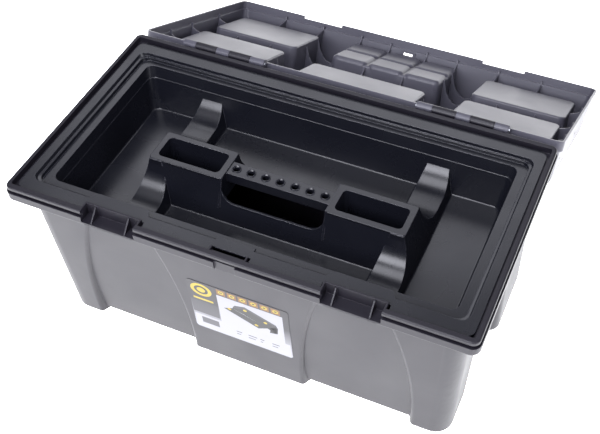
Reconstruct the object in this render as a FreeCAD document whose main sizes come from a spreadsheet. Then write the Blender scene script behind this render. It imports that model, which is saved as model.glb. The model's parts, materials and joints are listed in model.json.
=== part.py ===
import FreeCAD, Part
import math
import os

from FreeCAD import Placement, Rotation, Vector

# A moulded plastic toolbox: drafted box with a flanged rim, a lift-out tray, and a lid with
# organiser wells, shown open on its back stop. Origin: bottom centre of the feet. +X right,
# +Y to the hinges, +Z up, millimetres. Lid pieces are drawn closed, then swung open together.

DIMENSIONS = {
    # box body, half sizes of the drafted wall
    "base_half_x": 247.5, "base_half_y": 117, "wall_top_half_x": 256, "wall_top_half_y": 134,
    "wall_top_z": 200, "base_corner": 22, "floor_z": 8, "wall": 2.6, "panel_depth": 6, "panel_depth_top": 2,
    "foot_inner_x": 204, "centre_block_half": 71, "panel_arc": 540, "pilaster_round": 5, "foot_depth": 22,
    # rim
    "rim_z": 227, "rim_half_x": 270, "rim_half_y": 147, "lip_low_z": 221, "groove_low_z": 218.5,
    "groove_depth": 3, "band_half_x": 271.5, "band_half_y": 148.5, "band_low_z": 209,
    "flare_low_z": 190, "rim_corner": 8, "lip_inner_x": 265, "lip_inner_y": 140.5,
    # latch pockets in the front rim
    "latch_x": 139.5, "pocket_half": 32.5, "pocket_back_y": 133, "pocket_floor_z": 211.5,
    "pocket_wall": 2, "pocket_rib_x": 20.5, "pocket_rib": 1.6,
    # hinge
    "hinge_y": 158.5, "hinge_z": 221, "knuckle_r": 5.5, "rod_r": 2.5, "rod_fit": 0.05,
    "hinge_rod_in": 98, "hinge_rod_out": 211,
    "lid_open_angle": 206.1,
    # lid, heights above its own rim plane
    "lid_half_x": 273, "lid_half_y": 150, "lid_height": 62, "lid_wall": 2.5, "lid_step": 11,
    "lid_top_half_x": 267, "lid_top_half_y": 143, "lid_corner": 9, "lid_corner_top": 16, "well_floor": 16,
    "fin_start": 7.2, "slot_rise": 17.5,
    "well_wall": 2, "well_draft": 3, "well_corner": 9, "rib": 1.8, "notch_rise": 4,
    # side organiser wells and their covers
    "well_inner_x": 127, "well_outer_x": 252.5, "far_well_front_y": -112, "far_well_back_y": -14.5,
    "near_well_front_y": 18.2, "near_well_back_y": 96.5, "centre_well_half": 79,
    "cell_front_y": -131.5, "cell_back_y": -31.5, "pocket_front_y": 34, "pocket_rear_y": 98.5,
    "cover_recess": 3.2, "cover_plate": 2.2, "cover_gap": 0.6,
    "side_cover_in": 117, "side_cover_out": 262, "side_cover_front": -126, "side_cover_back": 102,
    "front_cover_half": 86, "front_cover_front": -137, "front_cover_back": -25,
    # tray
    "tray_half_x": 261.5, "tray_half_y": 131.5, "tray_top_z": 222, "tray_wall": 2.4,
    "tray_flange": 10, "tray_flange_half_y": 137.8, "tray_corner": 10,
    "tray_floor_z": 157, "tray_floor_inset": 34.5,
    "ledge_z": 213.5, "ledge_out": 15, "ledge_in": 25, "crease_z": 217.6, "back_ledge_in": 20,
    "back_ledge_out": 13, "tray_line_z": 199, "tray_line_inset": 28, "tray_line_step": 0.4, "tray_fillet": 2,
    "ridge_y": -9.5, "ridge_half": 22,
    "ridge_draft": 14, "cup_in_x": 64, "cup_out_x": 154, "cup_top_z": 212, "cup_lip": 6,
    "cup_depth": 48, "bar_half": 9.8, "bar_y": -10.3, "bar_top_z": 210.5, "bar_height": 13,
    "tool_hole_r": 3.7, "tool_ring_r": 5.6, "tool_ring_rise": 1.2, "tool_hole_pitch": 18,
    "grip_low_z": 183, "scoop_low_z": 171, "scoop_corner": 41, "divider_x": 146.5, "divider_top_half": 7.5, "divider_foot_half": 20.5,
    # latches
    "latch_pivot_y": 153, "latch_pivot_rise": 30, "latch_half": 27, "latch_barrel_r": 4.4,
    "latch_hang": 153.9, "pin_r": 1.6, "pin_fit": 0.05,
    # carry handle
    "handle_pivot_y": 6, "handle_pivot_rise": 69, "handle_half": 92, "handle_reach": 62,
    "handle_arm": 9, "handle_tall": 10, "handle_grip_r": 6.5, "handle_raise": 95, "handle_pin_r": 3,
    # cover hinges
    "cover_axis_in": 3.5, "cover_axis_rise": 62.4, "cover_barrel_r": 2.6, "cover_barrel": 26,
    "cover_pin_r": 1.1, "cover_ear": 3,
    # label
    "label_half": 62, "label_low_z": 54, "label_high_z": 150, "label_thick": 0.4,
}

doc = FreeCAD.newDocument("toolbox")
sheet = doc.addObject("Spreadsheet::Sheet", "dims")
for row, (alias, value) in enumerate(DIMENSIONS.items(), start=1):
    sheet.set(f"A{row}", alias)
    sheet.set(f"B{row}", str(value))
    sheet.setAlias(f"B{row}", alias)
doc.recompute()


class Sizes:
    def __getattr__(self, alias):
        return float(sheet.get(alias))


d = Sizes()
nodes = []


# ---- shape helpers ----

def wire_of(points):
    """A closed wire of straight edges through the points."""
    return Part.makePolygon([Vector(*p) for p in points] + [Vector(*points[0])])


def rounded_wire(x0, x1, y0, y1, radius, z):
    """A level rectangle with round corners, starting on its -Y side."""
    r = max(0.2, min(radius, (x1 - x0) / 2 - 0.1, (y1 - y0) / 2 - 0.1))
    c = r * (1 - math.sqrt(0.5))
    edges = []
    corners = [((x1 - r, y0), (x1 - c, y0 + c), (x1, y0 + r)), ((x1, y1 - r), (x1 - c, y1 - c), (x1 - r,
                                                                                                 y1)),
               ((x0 + r, y1), (x0 + c, y1 - c), (x0, y1 - r)), ((x0, y0 + r), (x0 + c, y0 + c), (x0 + r,
                                                                                                 y0))]
    last = corners[-1][2]
    for first, middle, end in corners:
        edges.append(Part.LineSegment(Vector(*last, z), Vector(*first, z)).toShape())
        edges.append(Part.Arc(Vector(*first, z), Vector(*middle, z), Vector(*end, z)).toShape())
        last = end
    return Part.Wire(edges)


def tub(layers, cx=0.0, cy=0.0):
    """A solid through level round-cornered rectangles: (half_x, half_y, radius, z) each."""
    wires = [rounded_wire(cx - hx, cx + hx, cy - hy, cy + hy, r, z) for hx, hy, r, z in layers]
    return Part.makeLoft(wires, True, True)


def tray_tub(layers):
    """Like tub, with a fifth number per layer: how far that layer sits towards the back."""
    wires = [rounded_wire(-hx, hx, back - hy, back + hy, r, z) for hx, hy, r, z, back in layers]
    return Part.makeLoft(wires, True, True)


def block(x0, x1, y0, y1, z0, z1):
    """A plain box between two corners, whichever way round they are given."""
    xs, ys, zs = sorted((x0, x1)), sorted((y0, y1)), sorted((z0, z1))
    return Part.makeBox(xs[1] - xs[0], ys[1] - ys[0], zs[1] - zs[0], Vector(xs[0], ys[0], zs[0]))


def plate(points, normal, thickness, middle):
    """A flat plate: 2-D outline points in the plane across normal ("X" or "Y"), centred on middle."""
    if normal == "X":
        outline = [(middle - thickness / 2, a, b) for a, b in points]
        along = Vector(thickness, 0, 0)
    else:
        outline = [(a, middle - thickness / 2, b) for a, b in points]
        along = Vector(0, thickness, 0)
    return Part.Face(wire_of(outline)).extrude(along)


def rod(radius, x0, x1, y, z):
    """A round bar along X."""
    return Part.makeCylinder(radius, abs(x1 - x0), Vector(min(x0, x1), y, z), Vector(1, 0, 0))


def mirrored(shape):
    return shape.mirror(Vector(0, 0, 0), Vector(1, 0, 0))


def both(shape):
    """The shape and its mirror image across the middle of the box."""
    return [shape, mirrored(shape)]


def soften(shape, radius, picks):
    """Round the edges that picks chooses; a radius that doesn't fit is halved."""
    edges = [e for e in shape.Edges if picks(e)]
    for size in (radius, radius / 2, radius / 4):
        if not edges:
            break
        try:
            soft = shape.makeFillet(size, edges)
            if soft.isValid() and soft.Volume > 0.5 * shape.Volume:
                return soft
        except Exception:
            continue
    print("edges left sharp:", len(edges), "at radius", radius)
    return shape


def level_at(z, slack=0.01):
    """Chooses edges that lie wholly at one height."""
    return lambda e: abs(e.BoundBox.ZMin - z) < slack and abs(e.BoundBox.ZMax - z) < slack


def add_node(name, shape, placement=None):
    """A document object for one finished sub-part; its label names its file."""
    piece = doc.addObject("Part::Feature", name)
    piece.Label = name
    piece.Shape = shape if shape.ShapeType == "Compound" else shape.removeSplitter()
    piece.Placement = placement or Placement()
    nodes.append(piece)
    return piece


# ---- box body ----

def wall_layer(z, inset=0.0):
    """The drafted outer wall's half sizes at a height, drawn in by inset."""
    share = z / d.wall_top_z
    return (d.base_half_x + (d.wall_top_half_x - d.base_half_x) * share - inset,
            d.base_half_y + (d.wall_top_half_y - d.base_half_y) * share - inset,
            d.base_corner - inset, z)


def raised_outline(face_y, side, outward):
    """Front outline of an end pilaster (outward True) or the centre block, at one depth."""
    lean = 0.5 * (face_y - d.base_half_y)
    radius = d.panel_arc

    def edge(z):
        swing = radius - math.sqrt(radius * radius - z * z)
        if outward:
            return d.foot_inner_x - swing + lean
        return d.centre_block_half + swing - lean

    tall = d.wall_top_z - 2
    outer = d.rim_half_x + 10 if outward else -edge(0)
    y = side * face_y
    arc = Part.Arc(Vector(edge(0), y, 0), Vector(edge(tall / 2), y, tall / 2), Vector(edge(tall), y, tall))
    if outward:
        rest = [(edge(tall), y, tall), (outer, y, tall), (outer, y, 0), (edge(0), y, 0)]
        lines = [Part.LineSegment(Vector(*a), Vector(*b)).toShape() for a, b in zip(rest, rest[1:])]
        return Part.Wire([arc.toShape()] + lines)
    other = Part.Arc(Vector(-edge(tall), y, tall), Vector(-edge(tall / 2), y, tall / 2), Vector(-edge(0),
                                                                                                y, 0))
    top = Part.LineSegment(Vector(edge(tall), y, tall), Vector(-edge(tall), y, tall)).toShape()
    base = Part.LineSegment(Vector(-edge(0), y, 0), Vector(edge(0), y, 0)).toShape()
    return Part.Wire([arc.toShape(), top, other.toShape(), base])


def raised_areas():
    """Everything of the wall that stands proud of the recessed panels."""
    near, far = d.base_half_y - d.foot_depth, d.rim_half_y + 6
    areas = []
    for side in (-1, 1):
        end = Part.makeLoft([raised_outline(near, side, True), raised_outline(far, side, True)], True, True)
        areas += both(end)
        areas.append(Part.makeLoft([raised_outline(near, side, False), raised_outline(far, side, False)],
                                   True, True))
    corner_reach = 62
    for side in (-1, 1):  # the ends of the box keep full thickness beside the corners
        y0, y1 = side * (d.base_half_y - corner_reach), side * (d.rim_half_y + 6)
        areas += both(block(d.base_half_x - 20, d.rim_half_x + 10, y0, y1, 0, d.wall_top_z - 2))
    return areas


def on_pilaster_edge(edge):
    """Chooses the long curved edges where a raised area's front face turns back to the panel."""
    box = edge.BoundBox
    middle = edge.valueAt((edge.FirstParameter + edge.LastParameter) / 2)
    front = d.base_half_y + (d.wall_top_half_y - d.base_half_y) * middle.z / d.wall_top_z
    return box.ZLength > 150 and abs(abs(middle.y) - front) < 0.5 and abs(middle.x) < d.foot_inner_x + 12


def end_grip():
    """The moulded lifting ledge on one end wall, under the rim."""
    low, high, half = 108, 196, 46
    grip = tub([(12, half - 8, 10, low), (15, half, 11, low + 14), (15, half, 11, high)],
               d.wall_top_half_x - 2, 0)
    return soften(grip, 5, level_at(low))


def make_box_body():
    full = tub([wall_layer(0), wall_layer(d.wall_top_z)])
    core = tub([wall_layer(d.floor_z, d.panel_depth), wall_layer(d.wall_top_z, d.panel_depth_top)])
    areas = raised_areas()
    proud = full.common(areas[0].multiFuse(areas[1:]))
    proud = soften(proud, d.pilaster_round, on_pilaster_edge)
    flare = tub([wall_layer(d.flare_low_z, d.panel_depth_top), (d.band_half_x, d.band_half_y,
                                                                d.rim_corner + 2, d.band_low_z),
                 (d.band_half_x, d.band_half_y, d.rim_corner + 2, d.groove_low_z)])
    flare = soften(flare, 2.5, level_at(d.band_low_z))
    neck = tub([(d.rim_half_x - d.groove_depth, d.rim_half_y - d.groove_depth, d.rim_corner - 2, z)
                for z in (d.groove_low_z - 1, d.lip_low_z + 1)])
    lip = tub([(d.rim_half_x, d.rim_half_y, d.rim_corner, z) for z in (d.lip_low_z, d.rim_z)])
    lip = soften(lip, 1.8, lambda e: level_at(d.rim_z)(e) or level_at(d.lip_low_z)(e))
    cavity = tub([wall_layer(d.floor_z + d.wall, d.panel_depth + d.wall),
                  wall_layer(d.flare_low_z, d.panel_depth_top + d.wall),
                  (d.lip_inner_x - 3.5, d.lip_inner_y - 5, d.rim_corner - 4, d.groove_low_z + 0.5),
                  (d.lip_inner_x, d.lip_inner_y, d.rim_corner - 5, d.groove_low_z + 0.8),
                  (d.lip_inner_x, d.lip_inner_y, d.rim_corner - 5, d.rim_z + 1)])
    skid_half, skid_deep = d.centre_block_half - 5, d.base_half_y - d.panel_depth
    skid = tub([(skid_half, skid_deep, 8, 0), (skid_half, skid_deep, 8, d.floor_z + 1)])
    well_below = tub([(skid_half - d.wall, skid_deep - d.wall, 6, d.wall),
                      (skid_half - d.wall, skid_deep - d.wall, 6, d.floor_z + 5)])
    body = core.multiFuse([proud, flare, neck, lip, skid] + both(end_grip())).cut([cavity, well_below])

    added, removed = [], []
    for side in (-1, 1):
        x0, x1 = side * d.latch_x - d.pocket_half, side * d.latch_x + d.pocket_half
        w, back = d.pocket_wall, -d.pocket_back_y
        added.append(block(x0 - w, x1 + w, back + w, -d.rim_half_y + 3, d.pocket_floor_z - 4,
                           d.rim_z - 0.4))
        removed.append(block(x0, x1, back, -d.rim_half_y - 9, d.pocket_floor_z, d.rim_z + 5))
        removed.append(block(x0 + 3, x1 - 3, -d.band_half_y + 2.6, -d.rim_half_y - 9,
                             d.pocket_floor_z - 3.6, d.pocket_floor_z - 1.6))
    body = body.fuse(added).cut(removed)

    ribs = []
    for side in (-1, 1):
        for step in (-1, 1):
            profile = [(-d.pocket_back_y + 0.5, d.pocket_floor_z - 0.5), (-d.pocket_back_y + 0.5,
                                                                          d.rim_z - 1.4),
                       (-d.pocket_back_y - 2, d.rim_z - 1.4), (-d.rim_half_y - 0.6, d.pocket_floor_z + 1.4),
                       (-d.rim_half_y - 0.6, d.pocket_floor_z - 0.5)]
            ribs.append(plate(profile, "X", d.pocket_rib, side * d.latch_x + step * d.pocket_rib_x))
    eye_half = 20.5
    for side in (-1, 1):  # the two short webs beside the padlock eye
        ribs.append(block(side * eye_half - 0.9, side * eye_half + 0.9, -d.lip_inner_y + 7,
                          -d.lip_inner_y - 4,
                          d.groove_low_z, d.rim_z - 0.6))
    ribs.append(block(-eye_half, eye_half, -d.lip_inner_y + 3.5, -d.lip_inner_y - 2, d.groove_low_z - 3,
                      d.rim_z - 3.2))
    body = body.fuse(ribs).cut(block(-12, 12, -d.band_half_y + 2.5, -d.band_half_y - 3,
                                     d.band_low_z - 4, d.lip_low_z - 0.5))

    knuckles, bores, props = [], [], []
    for low, high in ((118.4, 146.6), (164.6, 192.9)):
        barrel = rod(d.knuckle_r, low, high, d.hinge_y, d.hinge_z)
        arm = block(low, high, d.band_half_y - 4, d.hinge_y, d.hinge_z - d.knuckle_r, d.hinge_z - 0.7)
        knuckles += both(barrel.fuse(arm))
        for x in (low + 5, high - 5):
            props += both(plate(stop_outline(), "X", 3, x))
    bores = both(rod(d.rod_r + d.rod_fit, 90, 216, d.hinge_y, d.hinge_z))
    body = body.fuse(knuckles + props).cut(bores)
    return body


def lid_back_line(rise, gap):
    """A point of the open lid's back wall, given its rise from the lid rim, off by gap."""
    lean = (d.lid_half_y - d.lid_top_half_y) * rise / d.lid_height
    y = -(d.hinge_y - d.lid_half_y) - lean + gap
    angle = -math.radians(d.lid_open_angle)
    return (d.hinge_y + y * math.cos(angle) - rise * math.sin(angle),
            d.hinge_z + y * math.sin(angle) + rise * math.cos(angle))


def stop_outline():
    """Side view of a web under a hinge knuckle: the open lid's back wall leans on its edge."""
    gap = 0.6
    top, foot = lid_back_line(15, gap), lid_back_line(50, gap)
    return [(d.wall_top_half_y - 3, foot[1] - 16), (d.wall_top_half_y - 1, foot[1] - 16), foot, top,
            (d.hinge_y - 7, d.hinge_z - 3), (d.band_half_y - 4, d.hinge_z - 3)]


# ---- tray ----

def tray_layer(inset, z, grow=0.0, back_inset=None):
    """The tray's outline drawn in by inset, or by back_inset on its back side."""
    back = 0.0 if back_inset is None else (inset - back_inset) / 2
    return (d.tray_half_x - inset + grow, d.tray_half_y - inset + back + grow, d.tray_corner + grow, z,
            back)


def ridge_layer(z, grow=0.0):
    """The middle ridge's half sizes at a height; it widens downwards."""
    spread = d.ridge_draft * (d.cup_top_z - z) / (d.cup_top_z - d.tray_floor_z)
    return (d.cup_out_x + spread + grow, d.ridge_half + spread + grow, 5 + max(grow, -4), z)


def divider(side_x, side_y, grow=0.0):
    """One scooped wall between a cup and the tray's long wall, drawn out by grow."""
    low, high = d.tray_floor_z - 6, d.cup_top_z - 1
    foot, top = d.divider_foot_half + grow + 2.2, d.divider_top_half + grow
    inner_y = d.ridge_y + side_y * (d.ridge_half - 4)
    outer_y = side_y * d.tray_half_y - (d.back_ledge_in if side_y > 0 else -d.ledge_in)
    x = side_x * d.divider_x
    wires = [wire_of([(x - foot, y, low), (x + foot, y, low), (x + top, y, high), (x - top, y, high)])
             for y in (inner_y, outer_y + side_y)]
    wall = Part.makeLoft(wires, True, True)
    return wall.cut(scoop(x, d.ridge_y + side_y * (d.ridge_half + 2 + grow), outer_y - side_y * grow, grow))


def scoop(x, inner_y, outer_y, grow):
    """What the nearly semicircular hollow in a divider's top edge takes away."""
    near, far = sorted((inner_y, outer_y))
    r = min(d.scoop_corner, (far - near) / 2 - 0.5)
    c = r * (1 - math.sqrt(0.5))
    floor, high = d.scoop_low_z + grow, d.ledge_z + 4
    corners = [(near + r, floor), (far - r, floor), (far - c, floor + c), (far, floor + r), (far, high),
               (near, high), (near, floor + r), (near + c, floor + c)]
    p = [Vector(x - 40, y, z) for y, z in corners]
    edges = [Part.LineSegment(p[0], p[1]), Part.Arc(p[1], p[2], p[3]), Part.LineSegment(p[3], p[4]),
             Part.LineSegment(p[4], p[5]), Part.LineSegment(p[5], p[6]), Part.Arc(p[6], p[7], p[0])]
    return Part.Face(Part.Wire([edge.toShape() for edge in edges])).extrude(Vector(80, 0, 0))


def make_tray():
    t = d.tray_wall
    line = d.tray_line_z
    flange = tub([(d.tray_half_x, d.tray_flange_half_y, d.tray_corner, z) for z in (d.tray_top_z - t,
                                                                                    d.tray_top_z)])
    outer = tray_tub([tray_layer(d.tray_floor_inset, d.tray_floor_z - t, t),
                      tray_layer(d.tray_line_inset, line, t, d.tray_line_inset - 3),
                      tray_layer(d.ledge_in, d.ledge_z - t, t, d.back_ledge_in)])
    ledge = tray_tub([tray_layer(d.ledge_out, d.ledge_z - t, t, d.back_ledge_out),
                      tray_layer(d.tray_flange, d.tray_top_z, t - 0.6)])
    shell = flange.multiFuse([outer, ledge])
    hollow = tray_tub([tray_layer(d.tray_floor_inset, d.tray_floor_z),
                       tray_layer(d.tray_line_inset, line, 0, d.tray_line_inset - 3),
                       tray_layer(d.tray_line_inset - d.tray_line_step, line + 0.5, 0,
                                  d.tray_line_inset - 3 - d.tray_line_step),
                       tray_layer(d.ledge_in, d.ledge_z + 0.01, 0, d.back_ledge_in)])
    upper = tray_tub([tray_layer(d.ledge_out, d.ledge_z, 0, d.back_ledge_out),
                      tray_layer(d.ledge_out - 0.8, d.crease_z, 0, d.back_ledge_out - 0.4),
                      tray_layer(d.tray_flange + 1.6, d.crease_z + 0.6, 0, d.tray_flange + 1),
                      tray_layer(d.tray_flange, d.tray_top_z), tray_layer(d.tray_flange, d.tray_top_z + 1)])
    shell = shell.cut([hollow, upper])

    ridge = tub([ridge_layer(d.tray_floor_z - t), ridge_layer(d.cup_top_z)], 0, d.ridge_y)
    walls = [divider(sx, sy).common(outer) for sx in (-1, 1) for sy in (-1, 1)]
    inner = tray_tub([tray_layer(d.tray_floor_inset + 1.2, d.tray_floor_z - 8),
                      tray_layer(d.tray_floor_inset, d.tray_floor_z),
                      tray_layer(d.tray_line_inset, line, 0, d.tray_line_inset - 3),
                      tray_layer(d.ledge_in, d.ledge_z, 0, d.back_ledge_in)])
    skins = [divider(sx, sy, -t).common(inner) for sx in (-1, 1) for sy in (-1, 1)]
    tray = soften(shell.multiFuse([ridge] + walls), d.tray_fillet, level_at(d.tray_floor_z))
    under = tub([ridge_layer(d.tray_floor_z - t - 1, -t), ridge_layer(d.cup_top_z - t, -t)], 0, d.ridge_y)
    tray = tray.cut([under] + skins)

    lips, cups, cup_walls = [], [], []
    middle = (d.cup_in_x + d.cup_out_x) / 2
    half = (d.cup_out_x - d.cup_in_x) / 2
    for side in (-1, 1):
        cx = side * middle
        lip = tub([(half + 1.2, d.ridge_half + 1.2, 4, d.cup_top_z - 3), (half + 1.2, d.ridge_half + 1.2,
                                                                          4, d.cup_top_z)],
                  cx, d.ridge_y)
        lips.append(soften(lip, 0.8, level_at(d.cup_top_z)))
        low = d.cup_top_z - d.cup_depth
        inner = [(half - d.cup_lip, d.ridge_half - d.cup_lip, 5.5, d.cup_top_z + 1),
                 (half - d.cup_lip - 3, d.ridge_half - d.cup_lip - 3, 4.5, low)]
        cups.append(tub(inner[::-1], cx, d.ridge_y))
        cup_walls.append(tub([(half - d.cup_lip - 1, d.ridge_half - d.cup_lip - 1, 5, low - t),
                              (half - d.cup_lip + t, d.ridge_half - d.cup_lip + t, 6,
                               d.cup_top_z - 0.5)], cx, d.ridge_y))
    tray = tray.fuse(lips + cup_walls)

    grip_half = d.cup_in_x - 1.2
    r = 18
    low, high = d.grip_low_z, d.cup_top_z + 5
    c = r * (1 - math.sqrt(0.5))
    corners = [(-grip_half + r, low), (grip_half - r, low), (grip_half - c, low + c), (grip_half, low + r),
               (grip_half, high), (-grip_half, high), (-grip_half, low + r), (-grip_half + c, low + c)]
    p = [Vector(x, 0, z) for x, z in corners]
    edges = [Part.LineSegment(p[0], p[1]), Part.Arc(p[1], p[2], p[3]), Part.LineSegment(p[3], p[4]),
             Part.LineSegment(p[4], p[5]), Part.LineSegment(p[5], p[6]), Part.Arc(p[6], p[7], p[0])]
    grip = Part.Wire([edge.toShape() for edge in edges])
    gap = Part.Face(grip).extrude(Vector(0, 120, 0))
    gap.translate(Vector(0, d.ridge_y - 60, 0))
    flank = [(d.ridge_y - 21, d.bar_top_z), (d.ridge_y + 21, d.bar_top_z),
             (d.ridge_y + 33, d.grip_low_z - 8), (d.ridge_y - 33, d.grip_low_z - 8)]
    side_walls = both(plate(flank, "X", t, d.cup_in_x - 0.2))
    bar = block(-d.cup_in_x - 2, d.cup_in_x + 2, d.bar_y - d.bar_half, d.bar_y + d.bar_half,
                d.bar_top_z - d.bar_height, d.bar_top_z)
    channel = block(-d.cup_in_x + 1.6, d.cup_in_x - 1.6, d.bar_y - d.bar_half + t, d.bar_y + d.bar_half - t,
                    d.bar_top_z - d.bar_height - 1, d.bar_top_z - t)
    bar = bar.cut(channel)
    rings = []
    holes = []
    for i in range(-3, 4):
        at = Vector(i * d.tool_hole_pitch, d.bar_y, d.bar_top_z - d.bar_height - 2)
        ring_top = Vector(at.x, at.y, d.bar_top_z + d.tool_ring_rise)
        ring = Part.makeCylinder(d.tool_ring_r, 6, ring_top - Vector(0, 0, 6))
        rings.append(soften(ring, 0.5, level_at(ring_top.z)))
        holes.append(Part.makeCylinder(d.tool_hole_r, d.bar_height + 8, at))
        holes.append(Part.makeCone(d.tool_hole_r, d.tool_hole_r + 1.2, 1.21, ring_top - Vector(0, 0, 1.2)))
    tray = tray.cut(gap).fuse(side_walls + [bar] + rings).cut(cups + holes)

    waves, reliefs = [], []
    for side in (-1, 1):
        x0, x1 = side * d.latch_x - d.pocket_half, side * d.latch_x + d.pocket_half
        reliefs.append(block(x0 - 4, x1 + 4, -d.pocket_back_y + d.pocket_wall + 0.6, -d.lip_inner_y, 210,
                             230))
        inner, soft = -d.tray_half_y + d.tray_flange, 9
        waves.append(Part.Face(wave_wire(x0 - 8, x1 + 8, inner, soft)).extrude(Vector(0, 0, d.tray_wall)))
    reliefs.append(block(-23, 23, -d.lip_inner_y + 9.5, -d.lip_inner_y, 210, 230))
    waves.append(block(-22, 22, -d.tray_half_y + 2, -d.tray_half_y + 15, d.tray_top_z - t, d.tray_top_z))
    return tray.fuse(waves).cut(reliefs)


def wave_wire(x0, x1, y, rise):
    """Outline of the flange's inward swelling behind a latch pocket."""
    z = d.tray_top_z - d.tray_wall
    run = 12
    level = Vector(1, 0, 0)
    left, right = Part.BSplineCurve(), Part.BSplineCurve()
    climb = [Vector(x0, y - 1, z), Vector(x0 + run / 2, y + rise / 2, z), Vector(x0 + run, y + rise, z)]
    drop = [Vector(x1 - run, y + rise, z), Vector(x1 - run / 2, y + rise / 2, z), Vector(x1, y - 1, z)]
    left.interpolate(climb, InitialTangent=level, FinalTangent=level)
    right.interpolate(drop, InitialTangent=level, FinalTangent=level)
    ends = [Part.LineSegment(Vector(x0 + run, y + rise, z), Vector(x1 - run, y + rise, z)).toShape(),
            Part.LineSegment(Vector(x1, y - 1, z), Vector(x0, y - 1, z)).toShape()]
    return Part.Wire([left.toShape(), ends[0], right.toShape(), ends[1]])


# ---- lid, drawn closed ----

def lid_z(rise):
    return d.hinge_z + rise


def lid_layer(rise, inset=0.0, band=0.0):
    """The lid wall's half sizes at a rise above its rim plane."""
    share = rise / d.lid_height
    return (d.lid_half_x - 2.5 - (d.lid_half_x - 2.5 - d.lid_top_half_x) * share - inset + band,
            d.lid_half_y - 2.5 - (d.lid_half_y - 2.5 - d.lid_top_half_y) * share - inset + band,
            d.lid_corner + (d.lid_corner_top - d.lid_corner) * share - inset, lid_z(rise))


def well(x0, x1, y0, y1, floor, grow=0.0, corner=None):
    """A drafted pocket's outside (grow 0) or inside (grow below 0), hanging from the roof."""
    cx, cy = (x0 + x1) / 2, (y0 + y1) / 2
    hx, hy = abs(x1 - x0) / 2 + grow, abs(y1 - y0) / 2 + grow
    r = (d.well_corner if corner is None else corner) + grow
    top = lid_z(d.lid_height - d.lid_wall) if grow >= 0 else lid_z(d.lid_height + 2)
    return tub([(hx, hy, r, lid_z(floor)), (hx + d.well_draft, hy + d.well_draft, r + 1, top)], cx, cy)


def side_wells():
    spans = [(d.far_well_front_y, d.far_well_back_y), (d.near_well_front_y, d.near_well_back_y)]
    return [(side * d.well_inner_x, side * d.well_outer_x, y0, y1) for side in (-1, 1) for y0, y1 in spans]


def cells():
    """The 3 by 2 small compartments of the front centre organiser."""
    wide = 2 * d.centre_well_half / 3
    deep = (d.cell_back_y - d.cell_front_y) / 2
    return [(-d.centre_well_half + i * wide, -d.centre_well_half + (i + 1) * wide,
             d.cell_front_y + j * deep, d.cell_front_y + (j + 1) * deep) for i in range(3) for j in range(2)]


def fin(wall_at, well_at, low_rise, high_rise):
    """Side view of a rib that runs down the lid wall and curves to a well's edge."""
    step = -1 if well_at < wall_at else 1
    roof = lid_z(d.lid_height - 1)
    reach = abs(well_at - wall_at)
    start = lid_z(d.fin_start)
    points = [(wall_at, start), (wall_at + step * 2.6, start), (wall_at + step * 3.4, lid_z(low_rise))]
    for i in range(1, 5):
        share = i / 5
        points.append((wall_at + step * (3.4 + (reach - 3.4) * share ** 1.6),
                       lid_z(low_rise + (high_rise - low_rise) * share)))
    return points + [(well_at, lid_z(high_rise)), (well_at + step * 2, lid_z(high_rise)),
                     (well_at + step * 2, roof), (wall_at, roof)]


def saddle(x0, x1, rise, dip):
    """Side view of a web between two wells with a hanging curved edge."""
    roof = lid_z(d.lid_height - 1)
    points = [(x0 - 2, roof), (x0 - 2, lid_z(rise))]
    for i in range(9):
        share = i / 8
        points.append((x0 + (x1 - x0) * share, lid_z(rise + dip * math.sin(math.pi * share) ** 0.7)))
    return points + [(x1 + 2, lid_z(rise)), (x1 + 2, roof)]


def lid_ribs():
    ribs = []
    front = -(d.lid_half_y - 2.5 - d.lid_wall)
    side = d.lid_half_x - 2.5 - d.lid_wall
    floor = d.well_floor + 2.5
    for x in (28, 74):
        ribs += both(plate(fin(front - 0.8, d.cell_front_y, 12, floor + 3), "X", d.rib, x))
    for x in (135.5, 197):
        ribs += both(plate(fin(front - 0.8, d.far_well_front_y, 12, floor), "X", d.rib, x))
    for y in (-55.5, 28.5, 90):
        ribs += both(plate(fin(side + 0.8, d.well_outer_x, 13, floor), "Y", d.rib, y))
    for x in (164, 215):
        ribs += both(plate(saddle(d.far_well_back_y, d.near_well_front_y, floor + 2, 4), "X", d.rib, x))
    for x in (-28, 28):
        ribs.append(plate(saddle(d.cell_back_y, d.pocket_front_y, floor + 4, 16), "X", d.rib, x))
    for y in (-104, -58, 50, 84):
        ribs += both(plate(saddle(d.centre_well_half, d.well_inner_x, floor, 30), "Y", d.rib, y))
    return ribs


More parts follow.
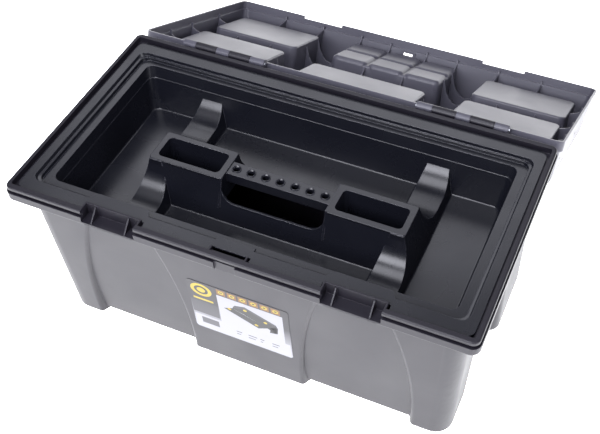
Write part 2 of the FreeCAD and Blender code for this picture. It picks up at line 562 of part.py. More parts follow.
def make_lid():
    h = d.lid_height
    shell = tub([lid_layer(0), lid_layer(h)])
    shell = soften(shell, 9, level_at(lid_z(h)))
    skirt = tub([(d.lid_half_x, d.lid_half_y, d.lid_corner, lid_z(0)),
                 (d.lid_half_x, d.lid_half_y, d.lid_corner, lid_z(d.lid_step + 2))])
    skirt = soften(skirt, 1.4, level_at(lid_z(d.lid_step + 2)))
    inside = tub([lid_layer(d.lid_step, d.lid_wall), lid_layer(h - d.lid_wall, d.lid_wall)])
    mouth = tub([(d.lid_half_x - d.lid_wall, d.lid_half_y - d.lid_wall, d.rim_corner, lid_z(rise))
                 for rise in (-1, d.lid_step)])
    lid = shell.fuse(skirt).cut([inside, mouth])

    front = -(d.lid_half_y - 2.5 - d.lid_wall)
    boss = block(-11, 11, front - 1, front + 2.4, lid_z(d.slot_rise - 5), lid_z(d.slot_rise + 5))
    lid = lid.fuse(boss)  # thickening round the padlock slot
    seat_low, seat_high = lid_z(h - d.cover_recess - d.lid_wall), lid_z(h - 1)
    for side in (-1, 1):  # thicker seats under the flush covers
        seat = block(side * (d.side_cover_in - 2), side * (d.side_cover_out + 1.4), d.side_cover_front - 2,
                     d.side_cover_back + 2, seat_low, seat_high)
        lid = lid.fuse(seat.common(shell))
    seat = block(-d.front_cover_half - 2, d.front_cover_half + 2, d.front_cover_front - 2,
                 d.front_cover_back + 2, seat_low, seat_high)
    lid = lid.fuse(seat.common(shell))

    hanging = [well(*spot, d.well_floor) for spot in side_wells()]
    hanging = [soften(w, 2.5, level_at(lid_z(d.well_floor))) for w in hanging]
    centre = (-d.centre_well_half, d.centre_well_half, d.pocket_front_y, d.pocket_rear_y)
    hanging.append(soften(well(*centre, d.well_floor), 2.5, level_at(lid_z(d.well_floor))))
    whole = (-d.centre_well_half + 1, d.centre_well_half - 1, d.cell_front_y + 1, d.cell_back_y - 1)
    hanging.append(soften(well(*whole, d.well_floor + 4), 3, level_at(lid_z(d.well_floor + 4))))
    for cell in cells():
        x0, x1, y0, y1 = cell
        pad = tub([((x1 - x0) / 2 - 0.7, (y1 - y0) / 2 - 0.5, 8, lid_z(d.well_floor + 0.5)),
                   ((x1 - x0) / 2 - 0.2, (y1 - y0) / 2 - 0.2, 8, lid_z(d.well_floor + 14))],
                  (x0 + x1) / 2, (y0 + y1) / 2)
        hanging.append(soften(pad, 6, level_at(lid_z(d.well_floor + 0.5))))
    lid = lid.multiFuse(hanging + lid_ribs())
    lid = lid.common(shell.fuse(skirt))

    w = -d.well_wall
    scoops = [well(*spot, d.well_floor + d.well_wall, w) for spot in side_wells()]
    scoops.append(well(*centre, d.well_floor + d.well_wall, w))
    for x0, x1, y0, y1 in cells():
        scoops.append(well(x0 + 2, x1 - 2, y0 + 2, y1 - 2, d.well_floor + 5, -1.2, 6))
    seats = [block(side * d.side_cover_in, side * d.side_cover_out, d.side_cover_front, d.side_cover_back,
                   lid_z(h - d.cover_recess), lid_z(h + 3)) for side in (-1, 1)]
    seats.append(block(-d.front_cover_half, d.front_cover_half, d.front_cover_front, d.front_cover_back,
                       lid_z(h - d.cover_recess), lid_z(h + 3)))
    lid = lid.cut(scoops + seats)

    ears, notches = [], []
    for side in (-1, 1):  # ears for the carry handle's two pins
        x = side * (d.handle_half + 4.5)
        z = lid_z(d.handle_pivot_rise)
        foot = block(x - 3, x + 3, d.handle_pivot_y - 10, d.handle_pivot_y + 10, lid_z(h - 2),
                     lid_z(h + 1.5))
        ears += [foot, block(x - 3, x + 3, d.handle_pivot_y - 5.5, d.handle_pivot_y + 5.5, lid_z(h - 2), z),
                 rod(5.5, x - 3, x + 3, d.handle_pivot_y, z)]
    lid = lid.fuse(ears + cover_ears())
    for side in (-1, 1):
        x0, x1 = side * (d.latch_x - 30.5), side * (d.latch_x + 30.5)
        notches.append(block(x0, x1, -d.lid_half_y - 4, -d.lid_half_y + 6, lid_z(-2), lid_z(d.notch_rise)))
    notches.append(block(-7, 7, -d.lid_half_y - 4, -d.lid_half_y + 9, lid_z(d.slot_rise - 2),
                         lid_z(d.slot_rise + 2)))
    for y, rise in ((-19, 33), (109, 31)):  # short slots in the ends, beside the organiser covers
        notches += both(block(d.lid_half_x - 11, d.lid_half_x + 4, y - 5, y + 5, lid_z(rise - 1),
                              lid_z(rise + 1)))
    lid = lid.cut(notches + handle_bores())

    lugs = []
    for side in (-1, 1):
        for step in (-1, 1):
            x = side * d.latch_x + step * (d.latch_half + 3)
            y = -d.latch_pivot_y
            z = lid_z(d.latch_pivot_rise)
            lug = rod(4.6, x - 2.4, x + 2.4, y, z).fuse(block(x - 2.4, x + 2.4, y, -d.lid_half_y + 6,
                                                              z - 4.6, z + 4.6))
            lugs.append(lug)
    lid = lid.fuse(lugs)
    barrels = []
    for low, high in ((99, 118), (147, 164.2), (193.3, 210)):
        barrel = rod(d.knuckle_r, low, high, d.hinge_y, d.hinge_z)
        arm = block(low, high, d.lid_half_y - 1.5, d.hinge_y, lid_z(0.4), lid_z(d.knuckle_r))
        barrels += both(barrel.fuse(arm))
    pins = [rod(d.pin_r + d.pin_fit, side * d.latch_x - 40, side * d.latch_x + 40, -d.latch_pivot_y,
                lid_z(d.latch_pivot_rise)) for side in (-1, 1)]
    rods = both(rod(d.rod_r + d.rod_fit, 90, 216, d.hinge_y, d.hinge_z))
    return lid.fuse(barrels).cut(pins + rods)


def handle_bores():
    z = lid_z(d.handle_pivot_rise)
    return [rod(d.handle_pin_r + d.pin_fit, side * (d.handle_half - 12), side * (d.handle_half + 12),
                d.handle_pivot_y, z) for side in (-1, 1)]


# ---- flush organiser covers: each is drawn as the right-hand one and turned into place ----

def side_hinge_spots():
    return [(side, y) for side in (-1, 1) for y in (-70, 46)]


def along_y(radius, x, y, z, length):
    """A round bar along Y, centred on y."""
    return Part.makeCylinder(radius, length, Vector(x, y - length / 2, z), Vector(0, 1, 0))


def side_axis_x():
    return d.side_cover_out - d.cover_axis_in


def front_axis_y():
    return d.front_cover_back - d.cover_axis_in


def ear_offsets():
    middle = d.cover_barrel / 2 + 0.4 + d.cover_ear / 2
    return (-middle, middle)


def cover_ears():
    """Small ears on the lid that hold the cover pins."""
    z = lid_z(d.cover_axis_rise)
    low = lid_z(d.lid_height - d.cover_recess - 1)
    r = d.cover_barrel_r
    ears = []
    for side, y in side_hinge_spots():
        x = side * side_axis_x()
        for off in ear_offsets():
            ear = block(x - r, x + r, y + off - d.cover_ear / 2, y + off + d.cover_ear / 2, low, z)
            ears.append(ear.fuse(along_y(r, x, y + off, z, d.cover_ear)))
    for x in (-50, 50):
        for off in ear_offsets():
            y = front_axis_y()
            ear = block(x + off - d.cover_ear / 2, x + off + d.cover_ear / 2, y - r, y + r, low, z)
            ears.append(ear.fuse(rod(r, x + off - d.cover_ear / 2, x + off + d.cover_ear / 2, y, z)))
    bored = ears[0].fuse(ears[1:]).cut(cover_pins("left", 0.04) + cover_pins("right",
                                                                             0.04) + cover_pins("front",
                                                                                                0.04))
    return bored.Solids


def cover_pins(which, grow=0.0):
    """The two short pins of one cover, or their bores when grown."""
    z = lid_z(d.cover_axis_rise)
    length = d.cover_barrel + 2 * d.cover_ear + 0.8 + (2 if grow else 0)
    if which == "front":
        return [rod(d.cover_pin_r + grow, x - length / 2, x + length / 2, front_axis_y(), z) for x in (-50,
                                                                                                       50)]
    side = 1 if which == "right" else -1
    return [along_y(d.cover_pin_r + grow, side * side_axis_x(), y, z, length) for s,
            y in side_hinge_spots() if s == side]


def make_cover(which):
    """A flush cover plate with a rolled finger edge and two hinge barrels."""
    g = d.cover_gap
    low = lid_z(d.lid_height - d.cover_recess + 0.2)
    high = low + d.cover_plate
    z = lid_z(d.cover_axis_rise)
    r = d.cover_barrel_r
    side = -1 if which == "left" else 1
    barrels, gaps = [], []
    if which == "front":
        x0, x1 = -d.front_cover_half + g, d.front_cover_half - g
        y0, y1 = d.front_cover_front + g, front_axis_y() + 0.5
        tab = block(-14, 14, y0, y0 + 4, high - 0.5, high + 2)
        for x in (-50, 50):
            barrels.append(rod(r, x - d.cover_barrel / 2, x + d.cover_barrel / 2, front_axis_y(), z))
            barrels.append(block(x - d.cover_barrel / 2, x + d.cover_barrel / 2, front_axis_y() - 3.2,
                                 front_axis_y(), low + 0.4, z))
            for off in ear_offsets():
                gaps.append(block(x + off - 2.1, x + off + 2.1, front_axis_y() - r - 0.6, y1 + 1, low - 1,
                                  high + 6))
    else:
        a, b = side * (d.side_cover_in + g), side * (side_axis_x() + 0.5)
        x0, x1 = min(a, b), max(a, b)
        y0, y1 = d.side_cover_front + g, d.side_cover_back - g
        middle = (y0 + y1) / 2
        tab = block(a, a + side * 4, middle - 14, middle + 14, high - 0.5, high + 2)
        for s, y in side_hinge_spots():
            if s != side:
                continue
            x = side * side_axis_x()
            barrels.append(along_y(r, x, y, z, d.cover_barrel))
            barrels.append(block(x - side * 3.2, x, y - d.cover_barrel / 2, y + d.cover_barrel / 2,
                                 low + 0.4, z))
            for off in ear_offsets():
                gaps.append(block(x - side * (r + 0.6), x + side * 2, y + off - 2.1, y + off + 2.1,
                                  low - 1, high + 6))
    panel = tub([((x1 - x0) / 2, (y1 - y0) / 2, 4, low), ((x1 - x0) / 2, (y1 - y0) / 2, 4, high)],
                (x0 + x1) / 2, (y0 + y1) / 2)
    panel = soften(panel, 0.7, level_at(high))
    return panel.cut(gaps).fuse(barrels + [tab]).cut(cover_pins(which, 0.05))


# ---- latches and carry handle, drawn closed ----

def make_latch(side):
    """Over-centre style clip: barrel, plate, a tooth for the rim's slot and a finger lip."""
    y, z = -d.latch_pivot_y, lid_z(d.latch_pivot_rise)
    inner, outer = y + 2.3, y - 0.9
    tooth_low = d.pocket_floor_z - 3.2
    profile = [(inner, z + 2), (inner, tooth_low + 1.2), (inner + 3.6, tooth_low + 1.2), (inner + 3.6,
                                                                                          tooth_low + 0.3),
               (inner, tooth_low), (inner, z - 44), (inner - 1.5, z - 46), (outer - 3.5, z - 46.5),
               (outer - 4.5, z - 44), (outer - 1, z - 38), (outer, z - 10), (outer, z + 2)]
    x = side * d.latch_x
    latch = plate(profile, "X", 2 * d.latch_half, x)
    latch = latch.fuse(rod(d.latch_barrel_r, x - d.latch_half, x + d.latch_half, y, z))
    window = block(x - 16, x + 16, outer - 1, outer + 1, z - 34, z - 9)
    latch = latch.cut([window, rod(d.pin_r + d.pin_fit, x - 40, x + 40, y, z)])
    return latch


def make_handle():
    """Bail handle: two flat arms and a round grip, drawn folded back over the hand pocket."""
    y, z = d.handle_pivot_y, lid_z(d.handle_pivot_rise)
    tall, reach = d.handle_tall / 2, d.handle_reach
    arms = []
    for side in (-1, 1):
        x0, x1 = side * (d.handle_half - d.handle_arm), side * d.handle_half
        arms += [block(x0, x1, y, y + reach, z - tall, z + tall), rod(tall, x0, x1, y, z),
                 rod(d.handle_grip_r, x0, x1, y + reach, z)]
    grip = rod(d.handle_grip_r, -d.handle_half + 2, d.handle_half - 2, y + reach, z)
    handle = grip.fuse(arms)
    return handle.cut(handle_bores())


def turned(angle, y, z):
    """A placement that turns about a line along X through y, z."""
    centre = Vector(0, y, z)
    return Placement(centre, Rotation(Vector(1, 0, 0), angle)).multiply(Placement(centre.negative(),
                                                                                  Rotation()))


def bound(kind, label, sizes):
    """A parametric primitive whose properties follow expressions on the dims sheet."""
    thing = doc.addObject(kind, label)
    for path, expression in sizes.items():
        thing.setExpression(path, expression)
    return thing


def pin_along_x(label, radius, length, x, y, z):
    """A round bar along X; every size is an expression on the dims sheet."""
    pin = bound("Part::Cylinder", label, {"Radius": radius, "Height": length})
    pin.Placement = Placement(Vector(), Rotation(Vector(0, 1, 0), 90))
    for axis, expression in zip("xyz", (x, y, z)):
        pin.setExpression(f".Placement.Base.{axis}", expression)
    return pin


def group_node(label, members, placement):
    """One node that holds separate solids, moved together."""
    group = doc.addObject("Part::Compound", label)
    group.Label = label
    group.Links = members
    group.Placement = placement
    nodes.append(group)


def add_label(label):
    """A thin printed sheet stuck on the centre block's drafted front."""
    lean = math.degrees(math.atan2(d.wall_top_half_y - d.base_half_y, d.wall_top_z))
    middle_z = (d.label_low_z + d.label_high_z) / 2
    film = bound("Part::Box", label, {"Length": "2 * dims.label_half", "Width": "dims.label_thick",
                                      "Height": "dims.label_high_z - dims.label_low_z"})
    corner = Vector(-d.label_half, -d.label_thick, -(d.label_high_z - d.label_low_z) / 2)
    face = Placement(Vector(0, -wall_layer(middle_z)[1] - 0.03, middle_z), Rotation(Vector(1, 0, 0), lean))
    film.Placement = face.multiply(Placement(corner, Rotation()))
    nodes.append(film)


lid_open = turned(-d.lid_open_angle, d.hinge_y, d.hinge_z)
latch_hangs = lid_open.multiply(turned(-d.latch_hang, -d.latch_pivot_y, lid_z(d.latch_pivot_rise)))
handle_hangs = lid_open.multiply(turned(d.handle_raise, d.handle_pivot_y, lid_z(d.handle_pivot_rise)))

add_node("box_body", make_box_body())
add_node("tool_tray", make_tray())
add_node("lid_shell", make_lid(), lid_open)
for side, name in ((-1, "left"), (1, "right")):
    rod_start = "dims.hinge_rod_in" if side > 0 else "-dims.hinge_rod_out"
    nodes.append(pin_along_x(f"hinge_rod_{name}", "dims.rod_r", "dims.hinge_rod_out - dims.hinge_rod_in",
                             rod_start, "dims.hinge_y", "dims.hinge_z"))
    add_node(f"latch_{name}", make_latch(side), latch_hangs)
    clip_pin = pin_along_x(f"clip_pin_{name}", "dims.pin_r", "2 * dims.latch_half + 12",
                           f"{side} * dims.latch_x - dims.latch_half - 6", "-dims.latch_pivot_y",
                           "dims.hinge_z + dims.latch_pivot_rise")
    group_node(f"latch_pin_{name}", [clip_pin], lid_open)
    bail_start = "dims.handle_half - 8.5" if side > 0 else "-dims.handle_half - 7.5"
    bail_pin = pin_along_x(f"bail_pin_{name}", "dims.handle_pin_r", "16", bail_start, "dims.handle_pivot_y",
                           "dims.hinge_z + dims.handle_pivot_rise")
    group_node(f"handle_pin_{name}", [bail_pin], lid_open)
add_node("carry_handle", make_handle(), handle_hangs)
for name in ("left", "right", "front"):
    add_node(f"organiser_cover_{name}", make_cover(name), lid_open)
    add_node(f"cover_pins_{name}", Part.makeCompound(cover_pins(name)), lid_open)
add_label("front_label")

os.makedirs("parts", exist_ok=True)
doc.recompute()
for thing in doc.Objects:
    if "Invalid" in thing.State or "Error" in thing.State:
        raise RuntimeError(f"{thing.Label} did not recompute")
for piece in nodes:
    shape = piece.Shape
    if shape.isNull() or not shape.isValid():
        raise RuntimeError(f"{piece.Label} is not a valid shape")
    print(piece.Label, "solids", len(shape.Solids), "volume", round(shape.Volume / 1000, 1), "cm3",
          shape.BoundBox)
    shape.exportStep(f"parts/{piece.Label}.step")
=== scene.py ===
import json
import math

import bmesh
import bpy
from mathutils import Matrix, Vector


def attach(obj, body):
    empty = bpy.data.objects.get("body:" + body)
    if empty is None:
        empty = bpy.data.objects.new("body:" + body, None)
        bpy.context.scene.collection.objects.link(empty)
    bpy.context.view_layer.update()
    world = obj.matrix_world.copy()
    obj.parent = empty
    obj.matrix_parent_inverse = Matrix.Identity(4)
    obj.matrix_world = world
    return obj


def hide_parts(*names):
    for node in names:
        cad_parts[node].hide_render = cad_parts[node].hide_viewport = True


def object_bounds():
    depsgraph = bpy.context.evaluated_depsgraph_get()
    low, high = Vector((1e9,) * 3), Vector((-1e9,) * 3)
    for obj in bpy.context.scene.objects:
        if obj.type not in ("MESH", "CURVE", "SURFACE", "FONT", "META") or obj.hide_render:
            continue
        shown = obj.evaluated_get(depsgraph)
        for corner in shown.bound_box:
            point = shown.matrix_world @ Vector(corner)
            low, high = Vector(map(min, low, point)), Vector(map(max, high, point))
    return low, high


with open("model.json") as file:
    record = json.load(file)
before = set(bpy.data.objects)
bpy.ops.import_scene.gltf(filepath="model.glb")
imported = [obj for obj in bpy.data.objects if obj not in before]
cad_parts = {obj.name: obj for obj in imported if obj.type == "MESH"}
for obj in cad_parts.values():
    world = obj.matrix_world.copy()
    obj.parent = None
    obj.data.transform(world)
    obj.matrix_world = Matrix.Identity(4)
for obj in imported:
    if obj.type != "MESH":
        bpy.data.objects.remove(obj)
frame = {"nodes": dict(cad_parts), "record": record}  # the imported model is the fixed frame, in metres
cadLow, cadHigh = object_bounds()
cadNodes = frame["nodes"]
millimetre = 0.001
print("frame loaded,", len(cadNodes), "nodes")


def linearColour(hexCode):  # sRGB hex to the linear values that shaders take
    channels = [int(hexCode[start:start + 2], 16) / 255 for start in (1, 3, 5)]
    return [c / 12.92 if c <= 0.04045 else ((c + 0.055) / 1.055) ** 2.4 for c in channels] + [1.0]


def perMetre(spacingMm):  # the scale of a pattern whose real spacing is known
    return 1000 / spacingMm


def addNode(tree, kind, feeds=None, **settings):
    # feeds: input name or number to a constant or to another node's output
    node = tree.nodes.new(kind)
    for name, value in settings.items():
        setattr(node, name, value)
    for name, value in (feeds or {}).items():
        if isinstance(value, bpy.types.NodeSocket):
            tree.links.new(value, node.inputs[name])
        else:
            node.inputs[name].default_value = value
    return node


def newMaterial(name):
    material = bpy.data.materials.new(name)
    material.use_nodes = True
    material.node_tree.nodes.clear()
    return material, material.node_tree


def finishMaterial(tree, surface):
    addNode(tree, "ShaderNodeOutputMaterial", {"Surface": surface.outputs["BSDF"]})


# Injection-moulded polypropylene: a waxy satin skin with the tool's fine spark texture,
# slow clouds of flow in the colour and gloss, and a painted highlight that makes edges and creases paler.
def mouldedPolypropylene(name, look):
    material, tree = newMaterial(name)
    place = addNode(tree, "ShaderNodeTexCoord").outputs["Object"]
    flow = addNode(tree, "ShaderNodeTexNoise", {
        "Vector": place, "Scale": perMetre(look["flowMm"]), "Detail": 4, "Roughness": 0.55,
        "Distortion": 0.4})
    spark = addNode(tree, "ShaderNodeTexNoise", {
        "Vector": place, "Scale": perMetre(look["sparkMm"]), "Detail": 3, "Roughness": 0.7})
    highlightPatches = addNode(tree, "ShaderNodeTexNoise", {
        "Vector": place, "Scale": perMetre(look["highlightPatchMm"]), "Detail": 6, "Roughness": 0.75})
    # a rounded normal softens each moulded corner, and where it differs from the true face, convex edges and
    # concave creases alike are painted paler in noisy patches: a painted edge highlight
    corner = addNode(tree, "ShaderNodeBevel", {"Radius": look["cornerMm"] * millimetre}, samples=4)
    trueFace = addNode(tree, "ShaderNodeNewGeometry")
    facing = addNode(tree, "ShaderNodeVectorMath", {
        0: corner.outputs["Normal"], 1: trueFace.outputs["Normal"]}, operation="DOT_PRODUCT")
    edge = addNode(tree, "ShaderNodeMapRange", {
        "Value": facing.outputs["Value"], "From Min": 0.995, "From Max": 0.8, "To Min": 0.0, "To Max": 1.0})
    patchyHighlightStrength = addNode(tree, "ShaderNodeMapRange", {
        "Value": highlightPatches.outputs["Fac"], "From Min": 0.35, "From Max": 0.65,
        "To Min": look["leastEdgeHighlight"] * look["edgeHighlightStrength"], "To Max": look["edgeHighlightStrength"]})
    paintedHighlightMask = addNode(tree, "ShaderNodeMath", {
        0: edge.outputs["Result"], 1: patchyHighlightStrength.outputs["Result"]}, operation="MULTIPLY")
    cloud = addNode(tree, "ShaderNodeMix", {
        "Factor": flow.outputs["Fac"], 6: linearColour(look["deep"]),
        7: linearColour(look["pale"])}, data_type="RGBA")
    tone = addNode(tree, "ShaderNodeMix", {
        "Factor": paintedHighlightMask.outputs["Value"], 6: cloud.outputs[2],
        7: linearColour(look["edge"])}, data_type="RGBA")
    gloss = addNode(tree, "ShaderNodeMapRange", {
        "Value": flow.outputs["Fac"], "From Min": 0.3, "From Max": 0.7,
        "To Min": look["roughness"] - look["glossier"], "To Max": look["roughness"] + look["duller"]})
    grit = addNode(tree, "ShaderNodeBump", {
        "Strength": look["sparkDepth"], "Distance": 0.1 * millimetre, "Height": spark.outputs["Fac"],
        "Normal": corner.outputs["Normal"]})
    surface = addNode(tree, "ShaderNodeBsdfPrincipled", {
        "Base Color": tone.outputs[2], "Roughness": gloss.outputs["Result"], "IOR": 1.49,
        "Specular IOR Level": look["specular"], "Normal": grit.outputs["Normal"]})
    finishMaterial(tree, surface)
    return material


# Drawn, zinc-plated steel wire: bluish bright metal with fine draw lines along each pin.
def zincPlatedSteel(name, look):
    material, tree = newMaterial(name)
    place = addNode(tree, "ShaderNodeTexCoord").outputs["Object"]
    along = addNode(tree, "ShaderNodeMapping", {
        "Vector": place, "Scale": (1, look["drawStretch"], look["drawStretch"])})
    lines = addNode(tree, "ShaderNodeTexNoise", {
        "Vector": along.outputs["Vector"], "Scale": perMetre(look["lineMm"]), "Detail": 3})
    gloss = addNode(tree, "ShaderNodeMapRange", {
        "Value": lines.outputs["Fac"], "To Min": look["roughness"] - look["glossier"],
        "To Max": look["roughness"] + look["duller"]})
    scratch = addNode(tree, "ShaderNodeBump", {
        "Strength": 0.15, "Distance": 0.05 * millimetre, "Height": lines.outputs["Fac"]})
    surface = addNode(tree, "ShaderNodeBsdfPrincipled", {
        "Base Color": linearColour(look["colour"]), "Metallic": 1.0, "Roughness": gloss.outputs["Result"],
        "Normal": scratch.outputs["Normal"]})
    finishMaterial(tree, surface)
    return material


# Moulded clear polystyrene: a polished see-through sheet whose gloss wanders a little.
def clearPolystyrene(name, look):
    material, tree = newMaterial(name)
    place = addNode(tree, "ShaderNodeTexCoord").outputs["Object"]
    haze = addNode(tree, "ShaderNodeTexNoise", {
        "Vector": place, "Scale": perMetre(look["hazeMm"]), "Detail": 3})
    gloss = addNode(tree, "ShaderNodeMapRange", {
        "Value": haze.outputs["Fac"], "To Min": look["roughness"],
        "To Max": look["roughness"] + look["duller"]})
    swirl = addNode(tree, "ShaderNodeBump", {
        "Strength": 0.1, "Distance": 0.2 * millimetre, "Height": haze.outputs["Fac"]})
    surface = addNode(tree, "ShaderNodeBsdfPrincipled", {
        "Base Color": linearColour(look["tint"]), "IOR": 1.59, "Transmission Weight": 0.92,
        "Roughness": gloss.outputs["Result"], "Normal": swirl.outputs["Normal"]})
    finishMaterial(tree, surface)
    return material


# Printed polyester film: flat inks that may fade with height under a thin clear layer.
def printedFilm(name, look):
    material, tree = newMaterial(name)
    place = addNode(tree, "ShaderNodeTexCoord").outputs["Object"]
    grain = addNode(tree, "ShaderNodeTexNoise", {
        "Vector": place, "Scale": perMetre(look["grainMm"]), "Detail": 2})
    height = addNode(tree, "ShaderNodeSeparateXYZ", {"Vector": place})
    fade = addNode(tree, "ShaderNodeMapRange", {
        "Value": height.outputs["Z"], "From Min": look["fadeLow"] * millimetre,
        "From Max": look["fadeHigh"] * millimetre})
    speck = addNode(tree, "ShaderNodeMath", {
        0: grain.outputs["Fac"], 1: look["grainDepth"], 2: fade.outputs["Result"]}, operation="MULTIPLY_ADD")
    ink = addNode(tree, "ShaderNodeMix", {
        "Factor": speck.outputs["Value"], 6: linearColour(look["low"]),
        7: linearColour(look["high"])}, data_type="RGBA")
    ripple = addNode(tree, "ShaderNodeTexNoise", {
        "Vector": place, "Scale": perMetre(look["rippleMm"]), "Detail": 1})
    wave = addNode(tree, "ShaderNodeBump", {
        "Strength": 0.2, "Distance": 0.2 * millimetre, "Height": ripple.outputs["Fac"]})
    surface = addNode(tree, "ShaderNodeBsdfPrincipled", {
        "Base Color": ink.outputs[2], "Roughness": look["roughness"], "IOR": 1.57, "Specular IOR Level": 0.2,
        "Coat Weight": 0.1, "Coat Roughness": 0.08, "Normal": wave.outputs["Normal"]})
    finishMaterial(tree, surface)
    return material


# in each look the edge colour and its strength paint a highlight: edges and creases made paler, in patches
greyLook = {"deep": "#17151c", "pale": "#1d1b23", "edge": "#5c5a64", "flowMm": 90, "sparkMm": 1.3,
            "highlightPatchMm": 9, "sparkDepth": 0.10, "cornerMm": 0.7, "edgeHighlightStrength": 0.35, "leastEdgeHighlight": 0.35,
            "roughness": 0.42, "glossier": 0.04, "duller": 0.05, "specular": 0.38}
# the lid is the same grey plastic as the body; its paler colours are painted light, a lit copy of that grey
# standing in for the light on its wells and walls
paintedLitLidLook = {**greyLook, "deep": "#46454e", "pale": "#4f4e58", "edge": "#74737d", "roughness": 0.36,
           "specular": 0.45, "cornerMm": 0.9}
trayLook = {**greyLook, "deep": "#0f1016", "pale": "#14151c", "edge": "#6c6c76", "roughness": 0.27,
            "specular": 0.5, "cornerMm": 0.8, "sparkDepth": 0.06, "edgeHighlightStrength": 0.55}
clipLook = {**trayLook, "deep": "#1a1b1e", "pale": "#212226", "roughness": 0.4}
coverLook = {"tint": "#c2cad2", "hazeMm": 24, "roughness": 0.06, "duller": 0.12}
steelLook = {"colour": "#b9bcc0", "lineMm": 0.6, "drawStretch": 12, "roughness": 0.28, "glossier": 0.06,
             "duller": 0.1}

materialOf = {
    "grey_body": mouldedPolypropylene("mouldedPolypropyleneGrey", greyLook),
    "grey_lid": mouldedPolypropylene("mouldedPolypropyleneLidGreyPaintedLit", paintedLitLidLook),
    "black_tray": mouldedPolypropylene("mouldedPolypropyleneBlack", trayLook),
    "black_clip": mouldedPolypropylene("mouldedPolypropyleneClip", clipLook),
    "cover": clearPolystyrene("clearPolystyreneMoulded", coverLook),
    "steel_pin": zincPlatedSteel("zincPlatedSteelWire", steelLook),
}
for subpart in frame["record"]["subparts"]:
    if subpart["material_slot"] in materialOf:
        nodeMaterials = cadNodes[subpart["node"]].data.materials
        nodeMaterials.clear()
        nodeMaterials.append(materialOf[subpart["material_slot"]])
print("materials on the moulded and steel pieces")


# The label, in millimetres from its middle: x to the right, y up its tilted face.
label = {"middleZ": 102, "faceY": -125.7, "lean": 4.86, "halfX": 61.6, "halfY": 47.6, "corner": 4,
         "film": 0.3, "standOff": 0.05, "ink": 0.02, "ringSides": 32, "cornerSteps": 6,
         "tiles": 6, "tileStart": -25, "tileStep": 13.2, "tileSize": 10.8, "tileY": 40.5}
inkLooks = {
    "film": {"low": "#8a8a90", "high": "#17151c", "fadeLow": 66, "fadeHigh": 114},
    "white": {"low": "#8c8c92", "high": "#86868c", "fadeLow": 60, "fadeHigh": 150},
    "silver": {"low": "#38383e", "high": "#28272d", "fadeLow": 70, "fadeHigh": 112},
    "yellow": {"low": "#8e7c08", "high": "#948209", "fadeLow": 60, "fadeHigh": 150},
    "amber": {"low": "#5e3c0c", "high": "#62400e", "fadeLow": 60, "fadeHigh": 150},
    "slate": {"low": "#08080b", "high": "#0b0b0e", "fadeLow": 60, "fadeHigh": 150},
    "shade": {"low": "#050507", "high": "#070709", "fadeLow": 60, "fadeHigh": 150},
}
inkNames = list(inkLooks)


def labelShapes():
    # (ink, layer, outline) from the film's face outwards; outlines run anticlockwise
    def box(x0, x1, y0, y1):
        return [(x0, y0), (x1, y0), (x1, y1), (x0, y1)]

    def ring(x, y, radius, wide=1.0):
        angles = [math.tau * step / label["ringSides"] for step in range(label["ringSides"])]
        return [(x + radius * wide * math.cos(angle), y + radius * math.sin(angle)) for angle in angles]

    shapes = [("silver", 1, box(-61, -27, -16, 8)), ("white", 1, box(-60, 60, -46, -20)),
              ("white", 1, box(-26, 54, -20, 34)), ("silver", 2, box(-52, -30, -36, -24)),
              ("yellow", 1, ring(-45, 33, 11.5, 1.15)), ("shade", 2, ring(-45, 33, 7.6, 1.15)),
              ("yellow", 3, ring(-45, 33, 4.6, 1.15)), ("yellow", 1, box(-57, -32, 12.5, 16)),
              ("slate", 2, [(-19, 12), (22, -7), (34, 0), (-8, 17)]),
              ("slate", 2, [(-8, 17), (6, 12), (44, -5), (46, 10), (10, 26), (-6, 22)]),
              ("silver", 3, [(-6, 19), (10, 23), (46, 8), (45, 12), (8, 28), (-5, 24)]),
              ("shade", 3, [(-10, 10), (16, -2), (24, 2), (-4, 14)]),
              ("slate", 2, [(36, -8), (46, -5), (47, 8), (38, 4)])]
    for x, y in ((-12, 13.5), (20, -1.5), (8, 21), (32, 10)):
        shapes.append(("yellow", 4, ring(x, y, 1.8, 1.3)))
    for index in range(label["tiles"]):
        x, y = label["tileStart"] + index * label["tileStep"], label["tileY"]
        middle = x + label["tileSize"] / 2
        shapes.append(("amber", 1, box(x, x + label["tileSize"], y - 5, y + 5)))
        shapes.append(("yellow", 2, ring(middle, y, 2.9, 1.2)))
        shapes.append(("shade", 3, box(middle - 1.6, middle + 1.6, y - 1, y + 1)))
    for index, width in enumerate((7, 11, 5, 9)):
        x = -8 + index * 15
        shapes.append(("silver", 2, box(x, x + width, -31, -29.4)))
        shapes.append(("silver", 2, box(x, x + width - 2, -36, -34.6)))
    return shapes


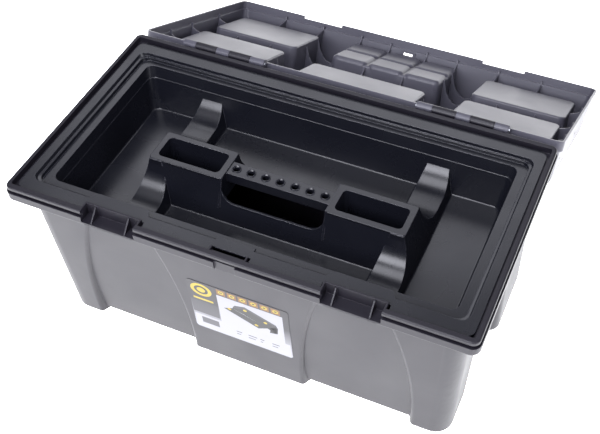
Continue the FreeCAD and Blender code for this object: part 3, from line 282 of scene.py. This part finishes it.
def printedLabel():
    faceMiddle = Matrix.Translation((0, label["faceY"] * millimetre, label["middleZ"] * millimetre))
    turn = faceMiddle @ Matrix.Rotation(math.radians(label["lean"]), 4, "X")
    mesh = bmesh.new()
    reachX, reachY = label["halfX"] - label["corner"], label["halfY"] - label["corner"]
    outline = []
    for sideX, sideY, start in ((1, -1, -90), (1, 1, 0), (-1, 1, 90), (-1, -1, 180)):
        for step in range(label["cornerSteps"] + 1):
            angle = math.radians(start + 90 * step / label["cornerSteps"])
            outline.append((sideX * reachX + label["corner"] * math.cos(angle),
                            sideY * reachY + label["corner"] * math.sin(angle)))

    def flatFace(points, depth, ink):
        ring = [mesh.verts.new(turn @ Vector((x * millimetre, -depth * millimetre, y * millimetre)))
                for x, y in points]
        face = mesh.faces.new(ring)
        face.material_index = inkNames.index(ink)
        return face

    back = flatFace(outline, label["standOff"], "film")
    front = bmesh.ops.extrude_face_region(mesh, geom=[back])
    outward = turn.to_3x3() @ Vector((0, -(label["film"] - label["standOff"]) * millimetre, 0))
    frontCorners = [item for item in front["geom"] if isinstance(item, bmesh.types.BMVert)]
    bmesh.ops.translate(mesh, vec=outward, verts=frontCorners)
    bmesh.ops.recalc_face_normals(mesh, faces=mesh.faces)
    for ink, layer, points in labelShapes():
        flatFace(points, label["film"] + layer * label["ink"], ink)
    data = bpy.data.meshes.new("printedLabel")
    mesh.to_mesh(data)
    mesh.free()
    piece = bpy.data.objects.new("printedLabel", data)
    bpy.context.scene.collection.objects.link(piece)
    for ink in inkNames:
        look = {**inkLooks[ink], "grainMm": 0.8, "grainDepth": 0.08, "rippleMm": 35, "roughness": 0.3}
        data.materials.append(printedFilm("printedFilm" + ink.capitalize(), look))
    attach(piece, "box")
    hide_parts("front_label")


printedLabel()
print("printed label in place")


studio = {"floorHalf": 40.0, "floor": "#fbfbfb", "tint": "#f4f5ff", "floorGlow": 2.2, "fibreMm": 2.5,
          "fibreDepth": 0.03, "roughness": 0.95}
softboxes = {
    "keySoftbox": {"place": (-0.25, -1.85, 1.75), "aim": (0, 0, 0.15), "size": (2.1, 1.0), "power": 78},
    "topSoftbox": {"place": (-0.1, -0.45, 2.5), "aim": (0, 0.15, 0.2), "size": (1.6, 1.2), "power": 40},
    "sideSoftbox": {"place": (2.2, -0.6, 0.9), "aim": (0, 0.1, 0.1), "size": (1.0, 1.2), "power": 18},
    "backTopSoftbox": {"place": (-0.75, 1.9, 2.1), "aim": (0, 0.05, 0.2), "size": (2.2, 1.0), "power": 19},
}
# the sky's colours from the horizon up, by the sine of the height
skyStops = ((0.0, (1, 1, 1, 1)), (0.05, (0.5, 0.5, 0.52, 1)), (0.15, (0.3, 0.3, 0.32, 1)),
            (0.45, (0.12, 0.12, 0.13, 1)))


def whiteFloor():
    mesh = bmesh.new()
    bmesh.ops.create_grid(mesh, x_segments=1, y_segments=1, size=studio["floorHalf"])
    data = bpy.data.meshes.new("paperFloor")
    mesh.to_mesh(data)
    mesh.free()
    floor = bpy.data.objects.new("paperFloor", data)
    bpy.context.scene.collection.objects.link(floor)
    floor.location.z = cadLow.z
    material, tree = newMaterial("mattePaper")
    place = addNode(tree, "ShaderNodeTexCoord").outputs["Object"]
    fibre = addNode(tree, "ShaderNodeTexNoise", {
        "Vector": place, "Scale": perMetre(studio["fibreMm"]), "Detail": 2})
    bump = addNode(tree, "ShaderNodeBump", {"Strength": studio["fibreDepth"], "Height": fibre.outputs["Fac"]})
    paper = addNode(tree, "ShaderNodeBsdfPrincipled", {
        "Base Color": linearColour(studio["floor"]), "Roughness": studio["roughness"],
        "Emission Color": (1, 1, 1, 1), "Emission Strength": studio["floorGlow"],
        "Normal": bump.outputs["Normal"]})
    finishMaterial(tree, paper)
    data.materials.append(material)


def softbox(name, place, aim, size, power):
    light = bpy.data.lights.new(name, "AREA")
    light.shape = "RECTANGLE"
    light.size, light.size_y = size
    light.energy = power
    light.color = linearColour(studio["tint"])[:3]
    lamp = bpy.data.objects.new(name, light)
    lamp.location = place
    lamp.rotation_euler = (Vector(aim) - Vector(place)).to_track_quat("-Z", "Y").to_euler()
    bpy.context.scene.collection.objects.link(lamp)


def studioSky():
    world = bpy.data.worlds.new("studioSky")
    bpy.context.scene.world = world
    world.use_nodes = True
    tree = world.node_tree
    tree.nodes.clear()
    direction = addNode(tree, "ShaderNodeTexCoord").outputs["Generated"]
    height = addNode(tree, "ShaderNodeSeparateXYZ", {"Vector": direction})
    ramp = addNode(tree, "ShaderNodeValToRGB", {"Fac": height.outputs["Z"]})
    stops = ramp.color_ramp.elements
    stops.remove(stops[1])
    for position, colour in skyStops:
        stop = stops.new(position) if position else stops[0]
        stop.color = colour
    sky = addNode(tree, "ShaderNodeBackground", {"Color": ramp.outputs["Color"], "Strength": 1.0})
    addNode(tree, "ShaderNodeOutputWorld", {"Surface": sky.outputs["Background"]})


# heading and tilt in degrees, the way a person stood over the front right of the open box
view = {"place": (0.3641, -0.7265, 1.0254), "heading": -25.485, "tilt": 47.355, "roll": -1.833, "lens": 61.87,
        "sensorMm": 36, "clipEnd": 100}


def addCamera():
    heading, tilt, roll = (math.radians(view[key]) for key in ("heading", "tilt", "roll"))
    level = Vector((math.sin(heading), math.cos(heading), 0))
    forward = level * math.cos(tilt) - Vector((0, 0, math.sin(tilt)))
    right = Vector((math.cos(heading), -math.sin(heading), 0))
    up = right.cross(forward)
    tilted = Matrix.Rotation(-roll, 3, forward)
    right, up = tilted @ right, tilted @ up
    data = bpy.data.cameras.new("camera")
    data.lens = view["lens"]
    data.sensor_width = view["sensorMm"]
    data.clip_end = view["clipEnd"]
    camera = bpy.data.objects.new("camera", data)
    aimed = Matrix((right, up, -forward)).transposed().to_4x4()
    camera.matrix_world = Matrix.Translation(view["place"]) @ aimed
    bpy.context.scene.collection.objects.link(camera)
    bpy.context.scene.camera = camera


whiteFloor()
studioSky()
for name, settings in softboxes.items():
    softbox(name, **settings)
addCamera()
bpy.context.scene.view_settings.view_transform = "Standard"
print("studio and camera in place")
